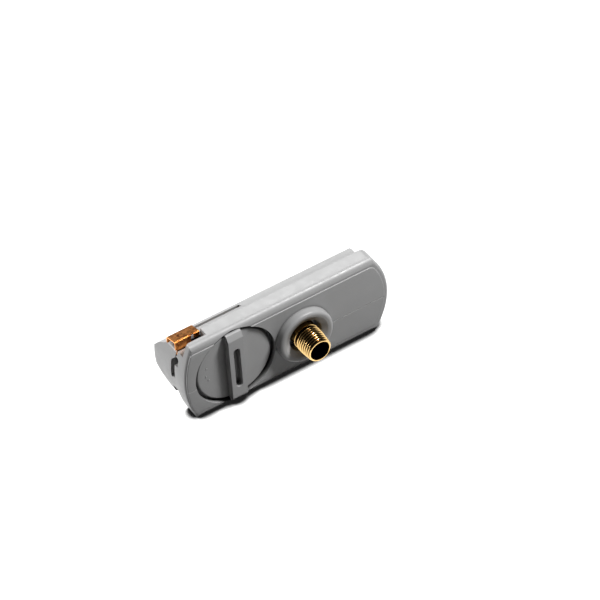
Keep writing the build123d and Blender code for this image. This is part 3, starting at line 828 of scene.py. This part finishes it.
@dataclass(frozen=True)
class RearHousing:
    """The rear shell: flange tray and hollow spine, with the recesses at its left end."""

    front: float = 3.0
    flange_back: float = 7.0
    wall: float = 1.5
    flange_round: float = 0.6
    spine: tuple[Span, ...] = ((7.0, 11.0), (12.0, 11.0), (14.0, 10.0), (18.0, 7.5), (21.0, 4.0))
    spine_inset: Span = (0.3, 2.7)
    bay: Span = (-42.0, 29.8)
    partition: Span = (-11.6, -10.4)
    notch_right: float = -35.3
    notch_floor: float = 11.8
    hook: Corners = (
        (10.0, -2.2, 0.5), (7.4, -0.6, 0.4), (7.4, 5.4, 0.5), (5.0, 6.1, 0.6), (5.0, 9.4, 0.9),
        (6.6, 9.4, 0.8), (9.6, 6.2, 1.2),
    )
    hook_length: float = 3.4
    leaf_slot: tuple[Span, Span] = ((-45.4, -40.2), (6.3, 7.4))
    slot_floor: float = 8.4
    low_notch: tuple[float, Span, Span] = (-43.4, (7.0, 10.6), (-11.5, -7.4))
    window_half: float = 12.0
    window_reach: float = 16.0
    windows: tuple[Span, ...] = ((8.5, 10.7), (13.7, 15.9))
    journal_hole: float = 3.1
    screw_hole: float = 1.1
    seat_radius: float = 2.0
    seat: float = 6.12
    screw_x: tuple[float, ...] = (-7.0, 25.0)
    screw_z: float = 13.5

    def spine_bar(self, span: Span, inset: float = 0.0, mouth: float | None = None) -> Solid:
        """Run the spine's cross-section along the body.

        Args:
            span: Where the run starts and ends.
            inset: How far the section is drawn in on its sides and back.
            mouth: Depth that the section's front is moved to.

        Returns:
            The solid.
        """
        half = [(depth, width) for depth, width in self.spine]
        corners = half + [(depth, -width) for depth, width in reversed(half)]
        bm = section_face(corners, Axis.LENGTH.value)
        if inset:
            bm.normal_update()
            inner = bm.faces[:][0]
            bmesh.ops.inset_individual(bm, faces=[inner], thickness=inset, use_even_offset=True)
            bmesh.ops.delete(bm, geom=[face for face in bm.faces if face != inner], context="FACES")
        if mouth is not None:
            front = min(vert.co.y for vert in bm.verts)
            for vert in bm.verts:
                if vert.co.y < front + 1e-4:
                    vert.co.y = mouth
        bmesh.ops.translate(bm, verts=bm.verts[:], vec=(span[0], 0, 0))
        return draw_out(bm, Vector((span[1] - span[0], 0, 0)))

    def hollows(self) -> list[Solid]:
        """Make the tray's hollow and the two bays in the spine, with the partition left between them.

        Returns:
            The solids to cut away.
        """
        wall = self.wall
        back = self.flange_back - wall
        tray = Outline(BODY_HIGH.z - wall, wall, wall).slab((self.front - PAST, back))
        notch = (self.notch_floor - wall, BODY_HIGH.z + PAST)
        tray.cut(brick((BODY_LOW.x, self.notch_right + wall), (0, self.flange_back + PAST), notch))
        bays = ((self.bay[0], self.partition[0]), (self.partition[1], self.bay[1]))
        return [tray] + [self.spine_bar(span, wall, back - 0.5) for span in bays]

    def end_cuts(self) -> list[Solid]:
        """Make the hooked recess, the low notch, the earth contact's notch and its slot.

        Returns:
            The solids to cut away.
        """
        left = BODY_LOW.x - PAST
        notch_x = (left, self.notch_right)
        return [
            section(self.hook, Axis.LENGTH, (left, BODY_LOW.x + self.hook_length)),
            brick((left, self.low_notch[0]), self.low_notch[1], self.low_notch[2]),
            brick(notch_x, (self.front - PAST, self.flange_back), (self.notch_floor, BODY_HIGH.z + PAST)),
            brick(self.leaf_slot[0], self.leaf_slot[1], (self.slot_floor, self.notch_floor + 0.1)),
        ]

    def build(self, material: Material) -> None:
        """Build the housing and dress it.

        Args:
            material: The body's plastic.
        """
        shell = Outline().slab((self.front, self.flange_back), back_round=self.flange_round)
        plan = Outline(self.spine[0][1], self.spine_inset[0], self.spine_inset[1])
        limits = plan.slab((self.flange_back - 0.1, BODY_HIGH.y), back_round=0.5)
        bar = self.spine_bar((BODY_LOW.x - PAST, BODY_HIGH.x), mouth=self.flange_back - PAST)
        shell.join(bar.keep(limits))
        shell.cut(*self.hollows())
        shell.cut(*self.end_cuts())
        span = (KNOB_X - self.window_half, KNOB_X + self.window_half)
        reach = (-self.window_reach, self.window_reach)
        shell.cut(*[brick(span, depth, reach) for depth in self.windows])
        shell.cut(disc(self.journal_hole, (BODY_HIGH.y - 3, BODY_HIGH.y + 1), KNOB_X))
        for x in self.screw_x:
            for z in (-self.screw_z, self.screw_z):
                shell.cut(
                    disc(self.screw_hole, (2, 8), x, z, 24),
                    disc(self.seat_radius, (self.seat, 8), x, z, 32),
                )
        fit(shell.finish("rear_housing_shell", 0.25, 3), material, "body", "body_plastic", "housing")


@dataclass(frozen=True)
class TurningKnob:
    """The disc with its slotted grip bar across the width."""

    radius: float = 15.0
    face: float = 0.7
    back: float = 1.9
    bevel: float = 0.6
    bar_width: float = 6.0
    bar_slope: float = 2.0
    slot_length: float = 18.0
    slot_width: float = 2.6
    slot_depth: float = 2.2
    slot_round: float = 1.29
    socket: float = 3.05
    screw_hole: float = 1.3
    hub_radius: float = 8.0
    pips: tuple[tuple[float, float], ...] = ((-10.8, 3.7), (-11.2, 0.1), (-10.4, -1.9))
    pip_rise: float = 0.15
    pip_radius: float = 0.3

    def build(self, material: Material) -> None:
        """Build the knob and dress it.

        Args:
            material: The body's plastic.
        """
        front = KNOB_LOW.y
        tip = KNOB_HIGH.z
        foot = self.radius - self.bevel
        profile = [
            (0, self.face), (self.radius - self.bevel, self.face, 0.5),
            (self.radius, self.face + self.bevel), (self.radius, self.back),
            (self.hub_radius, self.back), (self.hub_radius, KNOB_HIGH.y), (0, KNOB_HIGH.y),
        ]
        knob = turned(profile, KNOB_X, steps=128)
        side = [
            (self.face + 0.5, foot), (self.face - 0.2, tip), (front + 1.4, tip, 0.5),
            (front, tip - self.bar_slope, 0.8),
        ]
        side += [(y, -z, *rest) for y, z, *rest in reversed(side)]
        half = self.bar_width / 2
        bar = section(side, Axis.LENGTH, (KNOB_X - half, KNOB_X + half))
        half_slot = self.slot_length / 2
        half_gap = self.slot_width / 2
        slot = section(
            [
                (KNOB_X + x * half_gap, z * half_slot, self.slot_round)
                for x, z in ((-1, -1), (1, -1), (1, 1), (-1, 1))
            ],
            Axis.DEPTH, (front - PAST, front + self.slot_depth),
        )
        depth = (self.face - self.pip_rise, self.face + 0.5)
        pips = [disc(self.pip_radius, depth, KNOB_X + x, z, 16) for x, z in self.pips]
        knob.join(bar, *pips).cut(slot)
        socket = self.socket
        knob.cut(
            brick((KNOB_X - socket, KNOB_X + socket), (2.1, 4), (-socket, socket)),
            disc(self.screw_hole, (1.0, 4), KNOB_X, 0, 24),
        )
        fit(knob.finish("turning_knob", 0.3, 3), material, "rotor", "body_plastic", "knob")


@dataclass(frozen=True)
class ThreadedNipple:
    """The brass tube with its M10 x 1 thread, cut as a true helix."""

    pitch: float = 1.0
    crest_radius: float = 5.0
    root_radius: float = 4.45
    thread_end: float = -4.0
    relief_radius: float = 4.5
    neck_radius: float = 4.9
    neck_front: float = -3.1
    bore_radius: float = 3.75
    taper: tuple[float, float] = (0.9, 5.0)
    profile_steps: int = 12
    crease: float = 8.0
    steps: int = 72

    def thread(self) -> Solid:
        """Sweep one pitch of the thread's outline along a helix and trim it to length.

        Returns:
            The solid.
        """
        turns = math.ceil((self.thread_end - NIPPLE_LOW.y) / self.pitch) + 2
        start = NIPPLE_LOW.y - self.pitch * 1.5
        middle = (self.crest_radius + self.root_radius) / 2
        swell = (self.crest_radius - self.root_radius) / 2
        parts = [step / self.profile_steps for step in range(self.profile_steps)]
        outline = [(middle + swell * math.cos(math.tau * part), part) for part in parts]
        bm = bmesh.new()
        verts = [bm.verts.new((radius, start + along * self.pitch, 0)) for radius, along in outline]
        verts.append(bm.verts.new((self.crest_radius, start + self.pitch, 0)))
        for first, second in zip(verts, verts[1:]):
            bm.edges.new((first, second))
        bmesh.ops.spin(
            bm, geom=bm.verts[:] + bm.edges[:], cent=(0, 0, 0), axis=(0, 1, 0), angle=math.tau * turns,
            dvec=(0, self.pitch / self.steps, 0), steps=self.steps * turns, use_duplicate=False,
        )
        bmesh.ops.remove_doubles(bm, verts=bm.verts[:], dist=1e-3)
        for level, outward in ((NIPPLE_LOW.y, -1), (self.thread_end, 1)):
            result = bmesh.ops.bisect_plane(
                bm, geom=bm.verts[:] + bm.edges[:] + bm.faces[:], plane_co=(0, level, 0),
                plane_no=(0, outward, 0), clear_outer=True,
            )
            cut = [item for item in result["geom_cut"] if isinstance(item, bmesh.types.BMEdge)]
            bmesh.ops.contextual_create(bm, geom=cut)
        return Solid(bm)

    def build(self, material: Material) -> None:
        """Build the nipple and dress it.

        Args:
            material: The brass.
        """
        tip = NIPPLE_LOW.y
        full = self.crest_radius + 0.1
        envelope = turned([
            (0, tip - 0.01), (self.crest_radius - 0.3, tip - 0.01), (full, tip + 0.4),
            (full, self.thread_end + 1), (0, self.thread_end + 1),
        ])
        nipple = self.thread().keep(envelope)
        for vert in nipple.obj.data.vertices:
            along = min(1.0, max(0.0, (vert.co.y - tip) / self.taper[1]))
            girth = self.taper[0] + (1 - self.taper[0]) * along
            vert.co.x *= girth
            vert.co.z *= girth
        nipple.join(turned([
            (0, self.thread_end - 0.2), (self.relief_radius - 0.2, self.thread_end - 0.2),
            (self.relief_radius, self.neck_front), (self.neck_radius, self.neck_front + 0.2),
            (self.neck_radius, NIPPLE_HIGH.y), (0, NIPPLE_HIGH.y),
        ]))
        nipple.cut(turned([
            (0, tip - 1), (self.bore_radius + 0.12, tip - 1), (self.bore_radius + 0.12, tip),
            (self.bore_radius, tip + 0.12),
            (self.bore_radius, NIPPLE_HIGH.y + 1), (0, NIPPLE_HIGH.y + 1),
        ]))
        tube = nipple.finish("threaded_nipple_tube", 0.0, crease=self.crease)
        fit(tube, material, "body", "brass", "nipple")


@dataclass(frozen=True)
class EarthLeaf:
    """The bent copper leaf: a leg out of the slot, then a wider head folded back over it."""

    thickness: float = 0.5
    fold: float = 0.5
    leg_x: Span = (-45.0, -40.6)
    wide_leg_x: Span = (-45.5, -39.2)
    head_x: Span = (-45.6, -35.8)
    tab_x: Span = (-38.0, -35.8)
    foot: tuple[float, float] = (6.85, 10.9)
    shoulder: tuple[float, float] = (6.85, 12.3)
    tab_end: tuple[float, float] = (6.85, 14.0)
    bend: tuple[float, float] = (6.85, 14.0)
    knee: tuple[float, float] = (6.75, 16.0)
    crest: tuple[float, float] = (12.0, 14.4)
    hem: tuple[float, float] = (12.1, 11.9)

    def ribbon(self, points: Iterable[tuple[float, float]], span: Span) -> Solid:
        """Make a strip that follows points in depth and height.

        Args:
            points: (depth, height) of each bend.
            span: The strip's width along the body.

        Returns:
            The solid.
        """
        bm = bmesh.new()
        verts = [bm.verts.new((span[0], y, z)) for y, z in points]
        edges = [bm.edges.new(pair) for pair in zip(verts, verts[1:])]
        result = bmesh.ops.extrude_edge_only(bm, edges=edges)
        moved = [item for item in result["geom"] if isinstance(item, bmesh.types.BMVert)]
        bmesh.ops.translate(bm, verts=moved, vec=(span[1] - span[0], 0, 0))
        folds = [e for e in bm.edges if len(e.link_faces) == 2]
        bmesh.ops.bevel(
            bm, geom=folds, offset=self.fold, segments=4, profile=0.5, affect="EDGES", material=-1
        )
        bmesh.ops.recalc_face_normals(bm, faces=bm.faces[:])
        half = self.thickness / 2
        for vert in bm.verts:
            vert.normal_update()
        for vert in bm.verts:
            vert.co += vert.normal * half
        bmesh.ops.solidify(bm, geom=bm.faces[:], thickness=self.thickness)
        return Solid(bm)

    def build(self, material: Material) -> None:
        """Build the leaf and dress it.

        Args:
            material: The copper.
        """
        leaf = self.ribbon([self.foot, self.bend, self.knee], self.leg_x)
        leaf.join(self.ribbon([self.shoulder, self.bend, self.knee], self.wide_leg_x))
        leaf.join(self.ribbon([self.tab_end, self.knee], self.tab_x))
        leaf.join(self.ribbon([self.knee, self.crest, self.hem], self.head_x))
        fit(leaf.finish("earth_leaf_spring", 0.1, 2), material, "earth_leaf", "copper", "earth_contact")


@dataclass(frozen=True)
class CoverScrews:
    """Four small pan-headed screws with a cross recess, seen from behind."""

    x: tuple[float, ...] = (-7.0, 25.0)
    z: float = 13.5
    head_radius: float = 1.8
    shank_radius: float = 1.0
    front: float = 2.4
    head_front: float = 6.12
    back: float = 6.95
    recess: Span = (0.95, 0.2)

    def build(self, material: Material) -> None:
        """Build the screws and dress them.

        Args:
            material: The plated steel.
        """
        profile = [
            (0, self.front), (self.shank_radius - 0.3, self.front), (self.shank_radius, self.front + 0.4),
            (self.shank_radius, self.head_front), (self.head_radius, self.head_front),
            (self.head_radius, self.back, 0.5), (0, self.back),
        ]
        whole = None
        for x in self.x:
            for z in (-self.z, self.z):
                screw = turned(profile, 0.0, steps=32)
                arm, half = self.recess
                depth = (self.back - 0.5, self.back + 0.5)
                cross = brick((-arm, arm), depth, (-half, half))
                screw.cut(cross.join(brick((-half, half), depth, (-arm, arm))))
                turn = Matrix.Rotation(0.3 + x * 0.1 + z, 4, "Y")
                screw.obj.data.transform(Matrix.Translation((x, 0, z)) @ turn)
                whole = whole.join(screw) if whole else screw
        fit(whole.finish("cover_screw_set", 0.06, 2), material, "body", "steel", "cover_screws")


def dress_cad_nodes(finishes: dict[str, Material]) -> None:
    """Give every CAD node that stays its finish, and soften its edges.

    Args:
        finishes: The finish for each of the record's material slots.
    """
    slots = {part["node"]: part["material_slot"] for part in frame["record"]["subparts"]}
    for name, obj in frame["nodes"].items():
        if obj.hide_render:
            continue
        obj.data.materials.clear()
        obj.data.materials.append(finishes[slots[name]])
        weld = obj.modifiers.new("weld", "WELD")
        weld.merge_threshold = 0.002 * MM
        flat = obj.modifiers.new("flat_faces", "DECIMATE")
        flat.decimate_type = "DISSOLVE"
        flat.angle_limit = math.radians(0.5)
        bevel = obj.modifiers.new("soft_edges", "BEVEL")
        bevel.width = 0.08 * MM
        bevel.segments = 2
        bevel.limit_method = "ANGLE"
        bevel.angle_limit = math.radians(CREASE_ANGLE)
        LOG.info("%s: CAD node, dressed as %s", name, slots[name])


# ---------------------------------------------------------------- studio


@dataclass(frozen=True)
class Lamp:
    """A square soft light that faces the object."""

    name: str
    direction: tuple[float, float, float]
    distance: float
    size: float
    power: float
    colour: str = "#FFFFFF"

    def build(self, target: Vector) -> Object:
        """Hang the light.

        Args:
            target: The point that it faces, in metres.

        Returns:
            The light.
        """
        data = bpy.data.lights.new(self.name, "AREA")
        data.shape = "SQUARE"
        data.size = self.size
        data.energy = self.power
        data.color = linear(self.colour)[:3]
        lamp = bpy.data.objects.new(self.name, data)
        way = Vector(self.direction).normalized()
        lamp.location = target + way * self.distance
        lamp.rotation_euler = way.to_track_quat("Z", "Y").to_euler()
        bpy.context.scene.collection.objects.link(lamp)
        return lamp


@dataclass(frozen=True)
class Studio:
    """Plain pale floor, soft lights and a long-lens camera above the object's lower left."""

    azimuth: float = -29.7
    elevation: float = 44.5
    roll: float = -4.5
    aim: tuple[float, float, float] = (0.56, 0.51, 14.33)
    distance: float = 1.412
    lens: float = 250.0
    floor_colour: str = "#F0F0F0"
    floor_size: float = 4.0

    def camera(self) -> None:
        """Place the camera."""
        azimuth, elevation, roll = (math.radians(a) for a in (self.azimuth, self.elevation, self.roll))
        back = Vector((
            math.sin(azimuth) * math.cos(elevation), -math.cos(azimuth) * math.cos(elevation),
            math.sin(elevation),
        ))
        right = Vector((math.cos(azimuth), math.sin(azimuth), 0))
        up = back.cross(right)
        turned_right = right * math.cos(roll) + up * math.sin(roll)
        turned_up = back.cross(turned_right)
        data = bpy.data.cameras.new("camera")
        data.lens = self.lens
        data.sensor_width = 36.0
        data.clip_end = 20.0
        camera = bpy.data.objects.new("camera", data)
        pose = Matrix((turned_right, turned_up, back)).transposed().to_4x4()
        pose.translation = Vector(self.aim) * MM + back * self.distance
        camera.matrix_world = pose
        bpy.context.scene.collection.objects.link(camera)
        bpy.context.scene.camera = camera

    def floor(self) -> Object:
        """Lay the floor under the side that the object lies on; its paper carries a painted contact shadow
        near the object.

        Returns:
            The floor.
        """
        bm = bmesh.new()
        bmesh.ops.create_grid(bm, x_segments=1, y_segments=1, size=self.floor_size / 2)
        bmesh.ops.translate(bm, verts=bm.verts[:], vec=(0, 0, CAD_BOX[0][2]))
        mesh = bpy.data.meshes.new("studio_floor")
        bm.to_mesh(mesh)
        bm.free()
        floor = bpy.data.objects.new("studio_floor", mesh)
        bpy.context.scene.collection.objects.link(floor)
        material, tree, where = start_material("matt_studio_paper_painted_contact_shadow")
        tone = add_node(tree, "ShaderNodeMix", {
            "Factor": noise(tree, where, 60.0), 6: linear(self.floor_colour), 7: linear("#F3F3F3"),
        }, data_type="RGBA")
        # Painted contact shadow: the paper darkens towards near-black where ambient occlusion finds the
        # object close by.
        painted_shade_occlusion = add_node(tree, "ShaderNodeAmbientOcclusion", {"Distance": 6 * MM}, samples=16)
        contact = add_node(tree, "ShaderNodeMapRange", {
            "Value": painted_shade_occlusion.outputs["AO"], "From Min": 0.5, "From Max": 0.76,
        })
        paper = add_node(tree, "ShaderNodeMix", {
            "Factor": contact.outputs["Result"], 6: linear("#1A1A1A"), 7: tone.outputs[2],
        }, data_type="RGBA")
        shader = add_node(tree, "ShaderNodeBsdfPrincipled", {
            "Base Color": paper.outputs[2], "Roughness": 0.9, "Specular IOR Level": 0.1,
        })
        add_node(tree, "ShaderNodeOutputMaterial", {"Surface": shader.outputs["BSDF"]})
        mesh.materials.append(material)
        floor.visible_diffuse = False
        return floor

    def linked(self, members: list[Object], state: str) -> bpy.types.Collection:
        """Make a collection that ties a light to some objects, or keeps it off them.

        Args:
            members: The objects.
            state: INCLUDE or EXCLUDE.

        Returns:
            The collection.
        """
        group = bpy.data.collections.new("light_" + state.lower())
        for member in members:
            group.objects.link(member)
        for entry in group.collection_objects:
            entry.light_linking.link_state = state
        return group

    def lights(self, floor: Object) -> None:
        """Hang the lights and set the surroundings.

        Args:
            floor: The floor, which has its own light so that it stays plain.
        """
        target = Vector((0, 0, 0))
        lamps = (
            Lamp("key", (0.435, -0.334, 0.836), 0.7, 0.14, 4.6),
            Lamp("left_strip", (-0.71, 0.62, 0.32), 0.6, 0.22, 2.3),
            Lamp("rear_strip", (0.353, 0.62, 0.7), 0.7, 0.2, 1.0),
            Lamp("left_glint", (-0.85, -0.3, 0.43), 0.6, 0.06, 0.14),
        )
        for lamp in lamps:
            lamp.build(target).light_linking.receiver_collection = self.linked([floor], "EXCLUDE")
        paper = Lamp("paper_light", (0, 0, 1), 1.6, 0.2, 30.0).build(target)
        paper.light_linking.receiver_collection = self.linked([floor], "INCLUDE")
        paper.light_linking.blocker_collection = self.linked([floor], "INCLUDE")
        world = bpy.data.worlds.new("studio")
        world.use_nodes = True
        background = world.node_tree.nodes["Background"]
        background.inputs["Color"].default_value = linear("#FFFFFF")
        background.inputs["Strength"].default_value = 0.03
        bpy.context.scene.world = world

    def build(self) -> None:
        """Set up the camera, floor, lights and tone."""
        self.camera()
        self.lights(self.floor())
        view = bpy.context.scene.view_settings
        view.view_transform = "Standard"
        view.look = "Medium High Contrast"
        view.exposure = 0.3


# ---------------------------------------------------------------- building


def main() -> None:
    """Build the studio, the finishes and each sub-assembly in order."""
    logging.basicConfig(level=logging.INFO, format="%(name)s: %(message)s")
    finishes = {
        "body_plastic": MouldedPlastic("moulded_polycarbonate_silver_grey", "#9C9C9C", "#A3A3A3").build(),
        "rotor_plastic": MouldedPlastic("moulded_polyamide_dark_grey", "#5C5D5F", "#636466").build(),
        "terminal_plastic": MouldedPlastic("moulded_polyamide_natural", "#D8D4C8", "#CFCABC").build(),
        "steel": RolledMetal("zinc_plated_steel", "#C6C9CE", "#A4A7AC", 0.32).build(),
        "brass": TurnedBrass().build(),
        "copper": RolledMetal(
            "rolled_spring_copper", "#F2AC68", "#83451A", 0.36, 0.6, 1.5, (1.0, 0.25, 0.5),
        ).build(),
    }
    for assembly in (FaceCover(), RearHousing(), TurningKnob()):
        assembly.build(finishes["body_plastic"])
    ThreadedNipple().build(finishes["brass"])
    EarthLeaf().build(finishes["copper"])
    CoverScrews().build(finishes["steel"])
    dress_cad_nodes(finishes)
    Studio().build()


if __name__ == "__main__":
    main()
